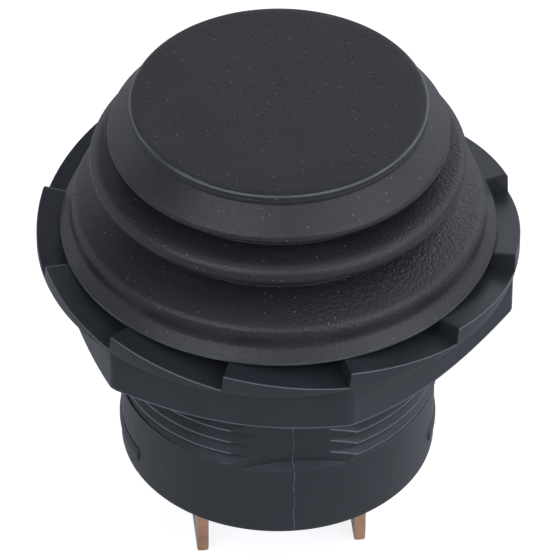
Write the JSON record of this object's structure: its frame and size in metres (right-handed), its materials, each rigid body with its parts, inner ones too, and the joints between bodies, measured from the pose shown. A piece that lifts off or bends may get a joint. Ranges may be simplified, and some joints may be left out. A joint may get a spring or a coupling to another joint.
{
  "type": "pushbutton switch",
  "caption": "Sealed panel-mount momentary pushbutton with a rubber bellows boot, a round threaded barrel, a ratchet-toothed hexagon nut and blade terminals.",
  "frame": {"origin": "on the barrel's axis, in the plane where the boot's skirt seats on the panel's front face", "axes": "+Z along the axis towards the button; the barrel's flats face -Y and +Y, and the blades stand at -X and +X"},
  "size_m": [0.0332, 0.0332, 0.0385],
  "materials": {
    "boot_rubber": "matt moulded rubber",
    "black_nylon": "satin moulded nylon",
    "inner_plastic": "moulded",
    "spring_steel": "drawn wire",
    "tinned_copper": "tin plated, cut edges bare",
    "contact_copper": "stamped",
    "contact_silver": "pressed"
  },
  "bodies": {
    "switch_body": {"barrel_housing": "black_nylon", "rubber_boot": "boot_rubber", "terminal_base": "black_nylon", "terminal_left": "tinned_copper", "terminal_right": "tinned_copper", "fixed_tip_left": "contact_silver", "fixed_tip_right": "contact_silver", "return_spring": "spring_steel"},
    "button": {"button_cap": "inner_plastic", "plunger": "inner_plastic", "contact_spring": "spring_steel", "bridge_clip": "spring_steel"},
    "contact_bar": {"contact_bridge": "contact_copper", "bridge_tip_left": "contact_silver", "bridge_tip_right": "contact_silver", "contact_washer": "spring_steel"},
    "nut": {"panel_nut": "black_nylon"}
  },
  "joints": [
    {"name": "button_press", "type": "slide", "parent": "switch_body", "child": "button", "axis": [0, 0, -1], "range_m": [0, 0.003], "stiffness_N_per_m": 900, "springref_m": -0.003, "deforming": ["rubber_boot", "return_spring"]},
    {"name": "bar_lift", "type": "slide", "parent": "button", "child": "contact_bar", "axis": [0, 0, 1], "range_m": [0, 0.001], "deforming": ["contact_spring"]},
    {"name": "nut_travel", "type": "slide", "parent": "switch_body", "child": "nut", "axis": [0, 0, -1], "range_m": [0, 0.0065]}
  ],
  "couplings": [
    {"joint": "bar_lift", "follows": "button_press", "ratio": 0.33333}
  ]
}
